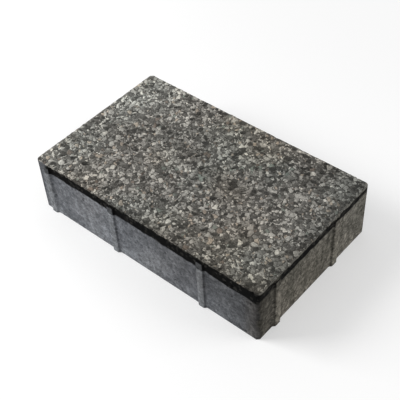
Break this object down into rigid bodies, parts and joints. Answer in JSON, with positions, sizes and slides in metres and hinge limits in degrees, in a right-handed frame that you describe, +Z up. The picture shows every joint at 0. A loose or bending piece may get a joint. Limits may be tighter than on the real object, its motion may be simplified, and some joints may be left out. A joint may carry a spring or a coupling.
{
  "type": "paving block",
  "caption": "Rectangular concrete paving block with a speckled wearing face, softened arris, rounded corners and tapered spacer ribs on its sides.",
  "frame": {"origin": "middle of the bed face, which lies on the ground", "axes": "+X along the long side, +Z up from the bed face to the wearing face"},
  "size_m": [0.26, 0.16, 0.06],
  "materials": {
    "concrete": "matte cast concrete, speckled with stone grains on the wearing face"
  },
  "bodies": {
    "root": {"paving_block": "concrete"}
  },
  "joints": []
}
